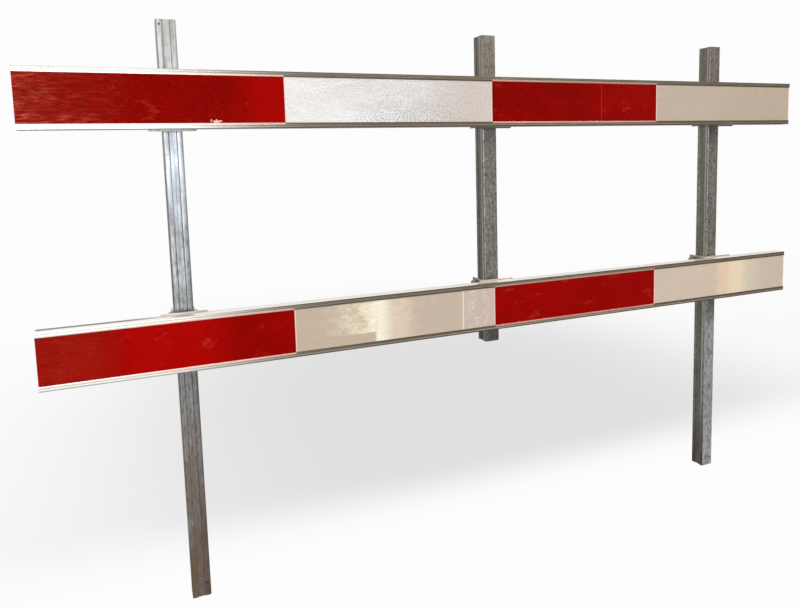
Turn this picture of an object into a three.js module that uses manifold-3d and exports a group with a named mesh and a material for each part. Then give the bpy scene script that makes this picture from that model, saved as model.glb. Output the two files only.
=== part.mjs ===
// Traffic barrier: two horizontal aluminium barrier boards, each faced with four alternating red and
// white retroreflective fields, clamped by six brackets to three galvanised steel posts. The two outer
// posts reach the ground, and the middle post is a short one that only ties the two boards together.
// Millimetres, +Z up. X runs along the boards, and the reflective faces look towards -Y.
// The origin is on the ground, under the middle of the barrier's bounding box.

import * as THREE from 'three';
import { mergeVertices } from 'three/addons/utils/BufferGeometryUtils.js';
import Module from 'manifold-3d';

const wasm = await Module();
wasm.setup();

// Clearance between pieces that touch
const gap = 0.3;

// How far a cutter or a joined piece runs past a face, so that no two faces coincide
const overlap = 1;

// Barrier boards: a hollow extrusion with a recessed front for the foil and a T-slot in the back
const boardLength = 2000;
const foilHeight = 95;
const rimHeight = 11;
const boardHeight = foilHeight + 2 * rimHeight;
const boardDepth = 30;
const boardWall = 2;
const rimCorner = 1.2;
const foilRecess = 1.9;
const slotMouth = 12;
const slotWidth = 22;
const slotDepth = 10;

// Reflective foil: equal fields along the board
const fieldCount = 4;
const foilThickness = 0.6;

// Posts: square tube with rounded corners and a shallow groove down two opposite faces
const postSize = 40;
const postWall = 2;
const postCorner = 4;
const cornerSteps = 4;
const grooveWidth = 14;
const grooveDepth = 1.5;
const grooveTaper = 1.5;
const postLength = 1250;
const middlePostLength = 765;
const ventHoleRadius = 2.5;
const ventHoleEdge = 7.5;
const ventHoleBelowTop = 10;
const ventHoleAboveFoot = 30;

// Brackets: a base plate with a cheek on each side of the post and a web that the post rests on
const sheet = 3;
const bracketWidth = 104;
const bracketHeight = 115;
const cheekHeight = 106;
const bracketChamfer = 7;
const standOff = 24;
const cheekTail = 17;
const clampBoltInset = 14;
const boardBoltSpacing = 76;

// How far a bracket sits off its board's centre line: outwards, so that it shows past the board's edge
const bracketShift = 4;

// M8 fasteners
const boltRadius = 4;
const boltHoleRadius = 4.5;
const nutBoreRadius = 4.3;
const hexAcrossFlats = 13;
const hexHeight = 6;
const flangeRadius = 8.5;
const flangeHeight = 1.4;
const boltTail = 3.5;
const hammerHeadLength = 19;
const hammerHeadHeight = 10;
const hammerHeadThickness = 4.5;
const roundSides = 12;
const flangeSides = 12;

// Where things are
const boardCentres = { upper: 1085, lower: 588 };
const postCentres = { left: -725, middle: 22, right: 765 };

// Depths, measured from the front of the board's rims
const bracketFront = boardDepth + gap;
const postFront = boardDepth + standOff;
const postCentreDepth = postFront + postSize / 2;
const postBack = postFront + postSize;
const bracketBack = postBack + cheekTail;
const cheekInside = postSize / 2 + 2 * gap;
const cheekOutside = cheekInside + sheet;
const clampBoltDepth = (postBack + bracketBack) / 2;

const steelLook = { color: 0x8a8d8e, roughness: 0.55, metalness: 0.85 };
const boltLook = { color: 0xa3a49f, roughness: 0.4, metalness: 0.9 };
const looks = {
  aluminium: new THREE.MeshStandardMaterial({ color: 0xb9b6b0, roughness: 0.38, metalness: 0.9 }),
  redFoil: new THREE.MeshStandardMaterial({ color: 0x960a08, roughness: 0.3, metalness: 0 }),
  whiteFoil: new THREE.MeshStandardMaterial({ color: 0xd4cabd, roughness: 0.3, metalness: 0 }),
  post: new THREE.MeshStandardMaterial(steelLook),
  bracket: new THREE.MeshStandardMaterial(steelLook),
  fastener: new THREE.MeshStandardMaterial(boltLook),
};

// A closed solid from a three.js geometry, for the boolean cuts and joins
function solidOf(geometry) {
  const plain = geometry.index ? geometry.toNonIndexed() : geometry.clone();
  plain.deleteAttribute('normal');
  plain.deleteAttribute('uv');
  const merged = mergeVertices(plain, 1e-4);
  const vertProperties = new Float32Array(merged.attributes.position.array);
  const triVerts = new Uint32Array(merged.index.array);
  return new wasm.Manifold(new wasm.Mesh({ numProp: 3, vertProperties, triVerts }));
}

function geometryOf(solid) {
  const mesh = solid.getMesh();
  const geometry = new THREE.BufferGeometry();
  geometry.setAttribute('position', new THREE.BufferAttribute(mesh.vertProperties, 3));
  geometry.setIndex(new THREE.BufferAttribute(mesh.triVerts, 1));
  geometry.computeVertexNormals();
  return geometry;
}

function cut(geometry, ...tools) {
  const remainder = tools.reduce((solid, tool) => solid.subtract(solidOf(tool)), solidOf(geometry));
  return geometryOf(remainder);
}

function join(...geometries) {
  const solids = geometries.map(solidOf);
  return geometryOf(solids.reduce((whole, solid) => whole.add(solid)));
}

// A box from its lowest to its highest corner
function box(low, high) {
  const [width, depth, height] = high.map((value, axis) => value - low[axis]);
  const centre = high.map((value, axis) => (value + low[axis]) / 2);
  return new THREE.BoxGeometry(width, depth, height).translate(...centre);
}

// A round or hexagonal rod along +X, from x = start to x = end, on the X axis
function rod(radius, start, end, sides = roundSides) {
  const geometry = new THREE.CylinderGeometry(radius, radius, end - start, sides);
  return geometry.rotateZ(-Math.PI / 2).translate((start + end) / 2, 0, 0);
}

function hexRod(start, end) {
  return rod(hexAcrossFlats / Math.sqrt(3), start, end, 6);
}

// A section drawn in depth (Y) and height (Z), swept along X and centred on X = 0
function sweepAlongX(shape, length) {
  const geometry = new THREE.ExtrudeGeometry(shape, { depth: length, bevelEnabled: false });
  const basis = new THREE.Matrix4().makeBasis(
    new THREE.Vector3(0, 1, 0),
    new THREE.Vector3(0, 0, 1),
    new THREE.Vector3(1, 0, 0),
  );
  return geometry.applyMatrix4(basis).translate(-length / 2, 0, 0);
}

function outline(points) {
  return new THREE.Shape(points.map(([x, y]) => new THREE.Vector2(x, y)));
}

function rectangle(x0, y0, x1, y1) {
  return outline([[x0, y0], [x1, y0], [x1, y1], [x0, y1]]);
}

// The board's section: front rims, the recessed web behind the foil, flanges, and a T-slot in the back
function boardSection() {
  const top = boardHeight / 2;
  const rimInside = foilHeight / 2;
  const slotFront = boardDepth - boardWall - slotDepth;
  const upperHalf = [
    [foilRecess, rimInside],
    [0, rimInside],
    [0, top - rimCorner],
    [rimCorner, top],
    [boardDepth - rimCorner, top],
    [boardDepth, top - rimCorner],
    [boardDepth, slotMouth / 2],
    [boardDepth - boardWall, slotMouth / 2],
    [boardDepth - boardWall, slotWidth / 2],
    [slotFront, slotWidth / 2],
  ];
  const lowerHalf = upperHalf.map(([y, z]) => [y, -z]).reverse();
  const section = outline([...upperHalf, ...lowerHalf]);
  const chamberFront = foilRecess + boardWall;
  const chamberBack = boardDepth - boardWall;
  const ribTop = slotWidth / 2 + boardWall;
  section.holes = [
    rectangle(chamberFront, ribTop, chamberBack, top - boardWall),
    rectangle(chamberFront, -top + boardWall, chamberBack, -ribTop),
    rectangle(chamberFront, -slotWidth / 2, slotFront - boardWall, slotWidth / 2),
  ];
  return section;
}

// A rounded square with a groove in its front and back faces: the same run of points, one face at a time.
// The wall keeps its thickness round the groove, so the inside is drawn the same way, a wall further in.
function postOutline(inset) {
  const half = postSize / 2 - inset;
  const corner = postCorner - inset;
  const floorHalf = grooveWidth / 2 + inset;
  const mouthHalf = floorHalf + grooveTaper;
  const grooveFloor = -half + grooveDepth;
  const grooveStep = [
    [-mouthHalf, -half],
    [-floorHalf, grooveFloor],
    [floorHalf, grooveFloor],
    [mouthHalf, -half],
  ];
  const points = [];
  for (let face = 0; face < 4; face += 1) {
    const turn = (face * Math.PI) / 2;
    const facePoints = face % 2 === 0 ? [...grooveStep] : [];
    for (let step = 0; step <= cornerSteps; step += 1) {
      const angle = (step / cornerSteps - 1) * (Math.PI / 2);
      const x = half - corner + corner * Math.cos(angle);
      const y = -half + corner + corner * Math.sin(angle);
      facePoints.push([x, y]);
    }
    for (const [x, y] of facePoints) {
      points.push([x * Math.cos(turn) - y * Math.sin(turn), x * Math.sin(turn) + y * Math.cos(turn)]);
    }
  }
  return points;
}

function boardGeometry() {
  return sweepAlongX(boardSection(), boardLength);
}

// One field of foil, in the board's recess, centred on its own middle
function foilGeometry() {
  const fieldLength = boardLength / fieldCount;
  return new THREE.BoxGeometry(fieldLength - gap, foilThickness, foilHeight - 2 * gap);
}

// A post standing on Z = 0, with a vent hole for the galvanising bath near each end, beside the groove
function postGeometry(length) {
  const section = outline(postOutline(0));
  section.holes = [outline(postOutline(postWall))];
  const tube = new THREE.ExtrudeGeometry(section, { depth: length, bevelEnabled: false });
  const ventHole = (side, height) => {
    const drill = rod(ventHoleRadius, -postWall, 2 * postWall).rotateZ(Math.PI / 2);
    return drill.translate(side * (postSize / 2 - ventHoleEdge), -postSize / 2, height);
  };
  return cut(tube, ventHole(-1, length - ventHoleBelowTop), ventHole(1, ventHoleAboveFoot));
}

// The bracket: plate, cheeks and web welded into one piece, then drilled, with the plate's corners cut off
function bracketGeometry(shift) {
  const half = bracketWidth / 2;
  const top = bracketHeight / 2;
  const cheekTop = cheekHeight / 2;
  const webBack = postFront - gap;
  const plate = box([-half, bracketFront, -top], [half, bracketFront + sheet, top]);
  const web = box([-cheekOutside, webBack - sheet, -cheekTop], [cheekOutside, webBack, cheekTop]);
  const leftCheek = box([-cheekOutside, bracketFront, -cheekTop], [-cheekInside, bracketBack, cheekTop]);
  const rightCheek = box([cheekInside, bracketFront, -cheekTop], [cheekOutside, bracketBack, cheekTop]);

  const cornerCut = (side, end) => {
    const size = bracketChamfer * Math.SQRT2;
    const cutter = new THREE.BoxGeometry(size, 4 * sheet, size).rotateY(Math.PI / 4);
    return cutter.translate(side * half, bracketFront + sheet / 2, end * top);
  };
  const boardBoltHole = (side) => {
    const drill = rod(boltHoleRadius, -2 * sheet, 2 * sheet).rotateZ(Math.PI / 2);
    return drill.translate((side * boardBoltSpacing) / 2, bracketFront, -shift);
  };
  const clampBoltHole = (end) => {
    const drill = rod(boltHoleRadius, -cheekOutside - sheet, cheekOutside + sheet);
    return drill.translate(0, clampBoltDepth, end * (cheekTop - clampBoltInset));
  };
  const corners = [cornerCut(-1, -1), cornerCut(-1, 1), cornerCut(1, -1), cornerCut(1, 1)];
  const drills = [boardBoltHole(-1), boardBoltHole(1), clampBoltHole(-1), clampBoltHole(1)];
  return cut(join(plate, web, leftCheek, rightCheek), ...corners, ...drills);
}

// A flanged hex bolt across both cheeks, with its head on the -X side
function clampBoltGeometry() {
  const seat = -cheekOutside - gap;
  const flange = rod(flangeRadius, seat - flangeHeight, seat, flangeSides);
  const head = hexRod(seat - hexHeight, seat);
  const shank = rod(boltRadius, seat - overlap, cheekOutside + 2 * gap + hexHeight + boltTail);
  return join(flange, head, shank);
}

// The flanged nut that closes it, on the +X side
function clampNutGeometry() {
  const seat = cheekOutside + gap;
  const flange = rod(flangeRadius, seat, seat + flangeHeight, flangeSides);
  const body = join(flange, hexRod(seat, seat + hexHeight));
  return cut(body, rod(nutBoreRadius, seat - overlap, seat + hexHeight + overlap));
}

// A hammer-head bolt in the board's T-slot with its flanged nut run down on the base plate, one solid.
// It is drawn along +X and turned to point backwards.
function boardBoltGeometry() {
  const headBack = boardDepth - boardWall - gap;
  const nutSeat = bracketFront + sheet + gap;
  const head = box(
    [headBack - hammerHeadThickness, -hammerHeadLength / 2, -hammerHeadHeight / 2],
    [headBack, hammerHeadLength / 2, hammerHeadHeight / 2],
  ).rotateX(Math.PI / 2);
  const shank = rod(boltRadius, headBack - overlap, nutSeat + hexHeight + boltTail);
  const flange = rod(flangeRadius, nutSeat, nutSeat + flangeHeight, flangeSides);
  const nut = hexRod(nutSeat, nutSeat + hexHeight);
  return join(head, shank, flange, nut).rotateZ(Math.PI / 2);
}

const barrier = new THREE.Group();

// Everything is placed by its depth behind the rims, and this group centres the whole depth on Y = 0
const assembly = new THREE.Group();
assembly.position.y = -bracketBack / 2;
barrier.add(assembly);

function addMesh(parent, name, geometry, material, x = 0, y = 0, z = 0) {
  const mesh = new THREE.Mesh(geometry, material);
  mesh.name = name;
  mesh.position.set(x, y, z);
  parent.add(mesh);
  return mesh;
}

function addBoard(row, centreHeight) {
  const board = new THREE.Group();
  board.position.z = centreHeight;
  assembly.add(board);
  addMesh(board, `${row}_board`, boardGeometry(), looks.aluminium);

  const fieldLength = boardLength / fieldCount;
  const foilDepth = foilRecess - gap - foilThickness / 2;
  for (let field = 0; field < fieldCount; field += 1) {
    const colour = field % 2 === 0 ? 'red' : 'white';
    const name = `${row}_${colour}_foil_${Math.floor(field / 2) + 1}`;
    const x = -boardLength / 2 + (field + 0.5) * fieldLength;
    addMesh(board, name, foilGeometry(), looks[`${colour}Foil`], x, foilDepth, 0);
  }
}

function addPost(side, x) {
  const length = side === 'middle' ? middlePostLength : postLength;
  const post = addMesh(assembly, `${side}_post`, postGeometry(length), looks.post, x, postCentreDepth, 0);
  post.position.z = postLength - length;
  post.rotation.z = side === 'left' ? 0 : -Math.PI / 2;
}

function addBracket(row, side) {
  const shift = row === 'upper' ? -bracketShift : bracketShift;
  const bracket = new THREE.Group();
  bracket.position.set(postCentres[side], 0, boardCentres[row] + shift);
  assembly.add(bracket);

  const name = `${row}_${side}`;
  addMesh(bracket, `${name}_bracket`, bracketGeometry(shift), looks.bracket);
  for (const [end, direction] of [['top', 1], ['bottom', -1]]) {
    const z = direction * (cheekHeight / 2 - clampBoltInset);
    const place = [0, clampBoltDepth, z];
    addMesh(bracket, `${name}_clamp_bolt_${end}`, clampBoltGeometry(), looks.fastener, ...place);
    addMesh(bracket, `${name}_clamp_nut_${end}`, clampNutGeometry(), looks.fastener, ...place);
  }
  for (const [hand, direction] of [['left', -1], ['right', 1]]) {
    const x = (direction * boardBoltSpacing) / 2;
    addMesh(bracket, `${name}_board_bolt_${hand}`, boardBoltGeometry(), looks.fastener, x, 0, -shift);
  }
}

for (const [row, centreHeight] of Object.entries(boardCentres)) {
  addBoard(row, centreHeight);
}
for (const [side, x] of Object.entries(postCentres)) {
  addPost(side, x);
  for (const row of Object.keys(boardCentres)) {
    addBracket(row, side);
  }
}

export default barrier;
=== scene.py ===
"""Looks for the traffic barrier: two aluminium boards with red and white reflective foil on three
galvanised posts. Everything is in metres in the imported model's frame: +X along the boards, the foil
faces -Y, +Z up. Sizes are worked out from the CAD nodes' boxes and from a few named wall thicknesses."""

import math

import bmesh
import bpy
from mathutils import Matrix, Vector, noise
from mathutils.geometry import tessellate_polygon


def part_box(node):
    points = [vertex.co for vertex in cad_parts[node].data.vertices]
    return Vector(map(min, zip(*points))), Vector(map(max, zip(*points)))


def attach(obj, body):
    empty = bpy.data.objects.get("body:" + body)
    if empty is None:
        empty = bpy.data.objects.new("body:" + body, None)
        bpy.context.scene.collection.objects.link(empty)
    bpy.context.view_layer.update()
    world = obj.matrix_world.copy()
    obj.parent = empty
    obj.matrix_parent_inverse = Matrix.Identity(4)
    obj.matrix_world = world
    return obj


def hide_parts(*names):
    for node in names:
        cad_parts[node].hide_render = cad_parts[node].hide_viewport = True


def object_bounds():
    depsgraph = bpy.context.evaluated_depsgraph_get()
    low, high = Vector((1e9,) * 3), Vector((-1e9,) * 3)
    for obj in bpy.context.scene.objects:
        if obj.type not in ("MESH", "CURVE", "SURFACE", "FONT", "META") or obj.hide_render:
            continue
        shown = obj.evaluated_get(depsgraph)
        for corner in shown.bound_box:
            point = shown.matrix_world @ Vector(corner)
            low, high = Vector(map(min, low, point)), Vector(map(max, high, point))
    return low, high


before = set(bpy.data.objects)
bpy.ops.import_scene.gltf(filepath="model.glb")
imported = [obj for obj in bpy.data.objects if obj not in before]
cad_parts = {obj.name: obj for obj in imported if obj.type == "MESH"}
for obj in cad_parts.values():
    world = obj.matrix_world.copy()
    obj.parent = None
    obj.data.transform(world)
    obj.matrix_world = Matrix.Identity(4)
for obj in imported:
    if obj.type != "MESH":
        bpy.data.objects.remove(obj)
CAD_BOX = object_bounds()

MM = 0.001
ROWS = ("upper", "lower")
SIDES = ("left", "middle", "right")
BODY_OF_ROW = {row: f"{row}_rail" for row in ROWS}
POST_BODY = "posts"
BOARD_FRONT = CAD_BOX[0].y
BETWEEN_BOARDS = (0.80, 0.90)  # heights
PAST_LEFT_POST = (-0.4, -0.1)  # places along the barrier, like the two seams
RED_SEAM = 0.321
WHITE_SEAM = -0.088


def board_heights():
    """The height of each board's centre line."""
    return [sum(corner.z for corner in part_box(f"{row}_board")) / 2 for row in ROWS]


# ---------------------------------------------------------------- camera


CAMERA_PLACE = (-0.7943, -1.4086, 0.9425)
CAMERA_TURN = (0.3711, 0.1025, -0.0305)
CAMERA_LENS = 28.83
CAMERA_SHIFT = (0.0104, -0.0917)


def make_camera():
    """A wide lens close in front of the left half, turned to the right and slightly down."""
    yaw, pitch, roll = CAMERA_TURN
    forward = Vector((math.sin(yaw) * math.cos(pitch), math.cos(yaw) * math.cos(pitch), -math.sin(pitch)))
    level_right = Vector((math.cos(yaw), -math.sin(yaw), 0))
    level_up = level_right.cross(forward)
    right = math.cos(roll) * level_right + math.sin(roll) * level_up
    up = math.cos(roll) * level_up - math.sin(roll) * level_right
    data = bpy.data.cameras.new("camera")
    data.lens = CAMERA_LENS
    data.sensor_width = 36
    data.shift_x, data.shift_y = CAMERA_SHIFT
    camera = bpy.data.objects.new("camera", data)
    turn = Matrix((right, up, -forward)).transposed().to_4x4()
    camera.matrix_world = Matrix.Translation(CAMERA_PLACE) @ turn
    bpy.context.collection.objects.link(camera)
    bpy.context.scene.camera = camera


# ---------------------------------------------------------------- shader nodes


class Shader:
    """A material's node tree, with short calls for the few nodes that the materials here are made of."""

    def __init__(self, name):
        self.material = bpy.data.materials.new(name)
        self.material.use_nodes = True
        self.tree = self.material.node_tree
        self.surface = self.tree.nodes["Principled BSDF"]
        self.place = self.tree.nodes.new("ShaderNodeTexCoord").outputs["Object"]

    def node(self, kind, settings=None, **inputs):
        made = self.tree.nodes.new(kind)
        for name, value in (settings or {}).items():
            setattr(made, name, value)
        for name, value in inputs.items():
            self.feed(made.inputs[name.replace("_", " ")], value)
        return made

    def feed(self, socket, value):
        if isinstance(value, bpy.types.NodeSocket):
            self.tree.links.new(value, socket)
        else:
            socket.default_value = value

    def set(self, **values):
        for name, value in values.items():
            self.feed(self.surface.inputs[name.replace("_", " ")], value)

    def stretched(self, x, y, z, shift=(0, 0, 0)):
        """Object coordinates with each axis scaled, for streaks and lines."""
        mapping = self.node("ShaderNodeMapping", Vector=self.place, Scale=(x, y, z), Location=shift)
        return mapping.outputs["Vector"]

    def noise(self, scale, detail=3.0, roughness=0.55, where=None, distortion=0.0):
        made = self.node(
            "ShaderNodeTexNoise", Vector=where or self.place, Scale=scale, Detail=detail,
            Roughness=roughness, Distortion=distortion,
        )
        return made.outputs["Fac"]

    def cells(self, scale, feature="F1", output="Color", where=None, randomness=1.0):
        made = self.node(
            "ShaderNodeTexVoronoi", {"feature": feature}, Vector=where or self.place, Scale=scale,
            Randomness=randomness,
        )
        return made.outputs[output]

    def ramp(self, value, low, high, low_out=0.0, high_out=1.0):
        """value taken from low..high to low_out..high_out, smoothly, and held outside."""
        made = self.node(
            "ShaderNodeMapRange", {"interpolation_type": "SMOOTHSTEP"}, Value=value, From_Min=low,
            From_Max=high, To_Min=low_out, To_Max=high_out,
        )
        return made.outputs["Result"]

    def math(self, operation, first, second=0.0):
        made = self.node("ShaderNodeMath", {"operation": operation})
        self.feed(made.inputs[0], first)
        self.feed(made.inputs[1], second)
        return made.outputs[0]

    def product(self, first, *others):
        for other in others:
            first = self.math("MULTIPLY", first, other)
        return first

    def inverse(self, value):
        return self.math("SUBTRACT", 1.0, value)

    def band(self, value, centre, half, soft):
        """1 where value is within half of the centre, falling to 0 over the soft distance."""
        distance = self.math("ABSOLUTE", self.math("SUBTRACT", value, centre))
        return self.ramp(distance, half, half + soft, 1.0, 0.0)

    def axis(self, name):
        return self.node("ShaderNodeSeparateXYZ", Vector=self.place).outputs[name]

    def on_lower_board(self):
        """1 on the lower board and its brackets, and 0 on the upper ones."""
        return self.ramp(self.axis("Z"), *reversed(BETWEEN_BOARDS))

    def mix(self, amount, first, second, blend="MIX"):
        made = self.node("ShaderNodeMix", {"data_type": "RGBA", "blend_type": blend})
        self.feed(made.inputs[0], amount)
        for socket, colour in ((made.inputs[6], first), (made.inputs[7], second)):
            self.feed(socket, colour if isinstance(colour, bpy.types.NodeSocket) else (*colour, 1.0))
        return made.outputs[2]

    def bump(self, height, distance, strength=1.0, under=None):
        made = self.node("ShaderNodeBump", Height=height, Distance=distance, Strength=strength)
        if under is not None:
            self.feed(made.inputs["Normal"], under)
        return made.outputs["Normal"]


def aluminium_material():
    """Extruded aluminium: die lines along the board, grey oxide, dirt and painted shade in the rims, a
    painted highlight towards the left end, and painted highlights on the top and bottom faces.
    """
    s = Shader("extruded_aluminium")
    x, y, z = s.axis("X"), s.axis("Y"), s.axis("Z")
    from_centre = s.math("MINIMUM", *(
        s.math("ABSOLUTE", s.math("SUBTRACT", z, height)) for height in board_heights()
    ))
    lines = s.noise(1.0, 4.0, 0.7, s.stretched(3.0, 900.0, 900.0))
    blotches = s.noise(14.0, 5.0, 0.6, s.stretched(0.5, 1.0, 1.0))
    scuffs = s.ramp(s.noise(60.0, 6.0, 0.7, s.stretched(0.12, 1.0, 1.0, (3, 0, 0))), 0.55, 0.72)
    colour = s.mix(s.ramp(blotches, 0.35, 0.7), (0.37, 0.325, 0.275), (0.25, 0.215, 0.175))
    colour = s.mix(s.ramp(lines, 0.3, 0.75, 0.0, 0.4), colour, (0.48, 0.44, 0.385))
    colour = s.mix(s.product(scuffs, 0.45), colour, (0.62, 0.59, 0.54))

    # Painted highlight: the front of the boards turns pale towards the left end.
    near_front = s.ramp(y, BOARD_FRONT + 6 * MM, BOARD_FRONT + 30 * MM, 1.0, 0.12)
    glare_left_end = s.product(s.ramp(x, -0.80, -0.42, 0.9, 0.0), near_front)
    colour = s.mix(glare_left_end, colour, (0.86, 0.83, 0.79))

    red_field = s.math("LESS_THAN", s.math("FRACT", s.math("ADD", x, 1.0)), 0.5)
    inner_edge = s.ramp(from_centre, 51.6 * MM, 50.2 * MM)
    at_front = s.math("LESS_THAN", y, BOARD_FRONT + 3 * MM)
    blush = s.product(red_field, inner_edge, s.ramp(x, -0.95, -0.65, 0.1, 0.85), at_front)
    colour = s.mix(blush, colour, (0.97, 0.62, 0.53))

    # Dirt in the groove; painted shade along the inner edge of the white fields, where the recess step
    # throws its shadow; a painted dark reflection along the rims' outer corner.
    groove = s.product(s.band(from_centre, 53.0 * MM, 0.5 * MM, 0.5 * MM), 0.8)
    outer_line = s.ramp(from_centre, 55.6 * MM, 56.6 * MM)
    white_edge = s.product(inner_edge, s.math("SUBTRACT", 0.75, red_field))
    darkening = s.math("MAXIMUM", s.math("MAXIMUM", outer_line, groove), white_edge)
    front = s.math("LESS_THAN", y, BOARD_FRONT + 1.6 * MM)
    darkening = s.product(darkening, s.ramp(blotches, 0.2, 0.5, 0.6, 0.95), s.inverse(glare_left_end), front)
    colour = s.mix(darkening, colour, (0.10, 0.080, 0.058))

    # Painted highlight: the top and bottom faces of the boards made pale; darker at the lower board's left
    # end.
    flange = s.product(s.ramp(from_centre, 57.9 * MM, 58.3 * MM), s.inverse(front))
    behind_rim = s.ramp(y, BOARD_FRONT + 11 * MM, BOARD_FRONT + 17 * MM)
    dark_flange_end = s.product(s.ramp(x, -0.84, -0.74, 1.0, 0.0), s.on_lower_board(), behind_rim)
    flange_tone = s.mix(dark_flange_end, (0.80, 0.77, 0.73), (0.085, 0.09, 0.10))
    colour = s.mix(s.product(flange, s.ramp(lines, 0.3, 0.7, 0.95, 0.7)), colour, flange_tone)
    s.set(
        Base_Color=colour, Metallic=0.85, Roughness=s.ramp(blotches, 0.3, 0.75, 0.30, 0.46),
        Normal=s.bump(lines, 0.00012, 0.3, s.bump(blotches, 0.0006, 0.3)),
    )
    return s.material


def field_ends(node):
    """Where a field of foil begins and ends along the board."""
    low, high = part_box(node)
    return low.x, high.x


def finish_foil(s, colour, grain, creases, crinkle, gloss):
    """The clear skin over the colour: a faint gloss that follows the crinkles."""
    cell = s.cells(260.0, "DISTANCE_TO_EDGE", "Distance", s.stretched(1.0, 0.05, 1.0), 0.12)
    cell_line = s.ramp(cell, 0.02, 0.12, 1.0, 0.0)
    skin = s.bump(grain, 0.00005, 0.5, s.bump(cell_line, 0.00006, 0.25))
    s.set(
        Base_Color=colour, Metallic=0.0, Roughness=0.38, Specular_IOR_Level=gloss,
        Normal=s.bump(creases, 0.0012, crinkle, skin), Coat_Weight=0.0,
    )
    return s.material


def red_foil_material():
    """Red reflective sheeting: deep, with fine level grain, fading patches, two painted highlights, and dust
    with painted glare on the left end.
    """
    s = Shader("red_foil")
    x, z = s.axis("X"), s.axis("Z")
    grain = s.noise(1.0, 3.0, 0.65, s.stretched(90.0, 1.0, 460.0))
    speck = s.noise(1.0, 3.0, 0.65, s.stretched(380.0, 1.0, 520.0, (2, 0, 3)))
    patches = s.noise(7.0, 5.0, 0.65, s.stretched(0.8, 1.0, 1.6))
    creases = s.noise(40.0, 5.0, 0.65, s.stretched(0.3, 1.0, 1.3), 0.6)
    colour = s.mix(s.ramp(patches, 0.36, 0.66), (0.315, 0.0018, 0.0012), (0.20, 0.0012, 0.0008))
    colour = s.mix(s.ramp(grain, 0.42, 0.60, 0.0, 0.85), colour, (0.15, 0.0010, 0.0007))
    colour = s.mix(s.ramp(speck, 0.50, 0.62, 0.0, 0.65), colour, (0.42, 0.0070, 0.0035))

    lower_board = s.on_lower_board()
    upper_board = s.inverse(lower_board)
    colour = s.mix(s.product(lower_board, 0.25), colour, (0.43, 0.0015, 0.001))
    # Painted highlights: brighter red on the lower board near x = -0.755 and on the upper board near x =
    # -0.51.
    middle_bright = s.product(lower_board, s.band(x, -0.755, 0.05, 0.10))
    right_bright = s.product(upper_board, s.band(x, -0.51, 0.02, 0.11))
    bright = s.math("MAXIMUM", middle_bright, right_bright)
    bright = s.product(bright, s.ramp(grain, 0.35, 0.65, 0.65, 0.4))
    colour = s.mix(bright, colour, (0.50, 0.0022, 0.0016))
    scuff_noise = s.noise(22.0, 5.0, 0.7, s.stretched(0.7, 1.0, 1.3, (9, 0, 1)))
    scuffs = s.product(s.ramp(scuff_noise, 0.58, 0.70), s.ramp(speck, 0.3, 0.7, 0.15, 0.55))
    colour = s.mix(scuffs, colour, (0.46, 0.045, 0.03))

    # Dust and painted glare on the left end: a brighter red haze, then pale slanted streaks and flakes.
    upper_end = s.product(s.ramp(x, -1.0, -0.79, 1.0, 0.0), upper_board)
    lower_end = s.product(s.ramp(x, -0.92, -0.83, 0.8, 0.0), lower_board)
    left_end = s.math("MAXIMUM", upper_end, lower_end)
    glare_and_dust_haze = s.product(left_end, s.ramp(patches, 0.3, 0.7, 0.5, 0.15))
    colour = s.mix(glare_and_dust_haze, colour, (0.38, 0.020, 0.010))
    clump_noise = s.noise(13.0, 3.0, 0.6, s.stretched(0.6, 1.0, 1.4, (4, 0, 4)))
    clumps = s.ramp(clump_noise, 0.36, 0.6, 0.2, 1.0)
    dust_and_glare = s.product(left_end, clumps, s.ramp(z, *BETWEEN_BOARDS, 0.08, 1.0))
    slanted = s.node("ShaderNodeMapping", Vector=s.place, Scale=(34.0, 1.0, 210.0), Rotation=(0, 0.12, 0))
    streaks = s.ramp(s.noise(1.0, 6.0, 0.75, slanted.outputs["Vector"]), 0.44, 0.66)
    colour = s.mix(s.product(streaks, dust_and_glare), colour, (0.62, 0.150, 0.095))
    flakes = s.ramp(s.noise(240.0, 4.0, 0.7), 0.60, 0.70, 0.0, 0.55)
    colour = s.mix(s.product(flakes, dust_and_glare), colour, (0.62, 0.30, 0.22))

    lap = s.product(s.band(x, RED_SEAM, 0.4 * MM, 0.7 * MM), upper_board, 0.33)
    colour = s.mix(lap, colour, (0.50, 0.10, 0.07))
    s.set(Specular_Tint=(1.0, 0.10, 0.06, 1.0))
    return finish_foil(s, colour, grain, creases, 0.25, 0.07)


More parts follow.
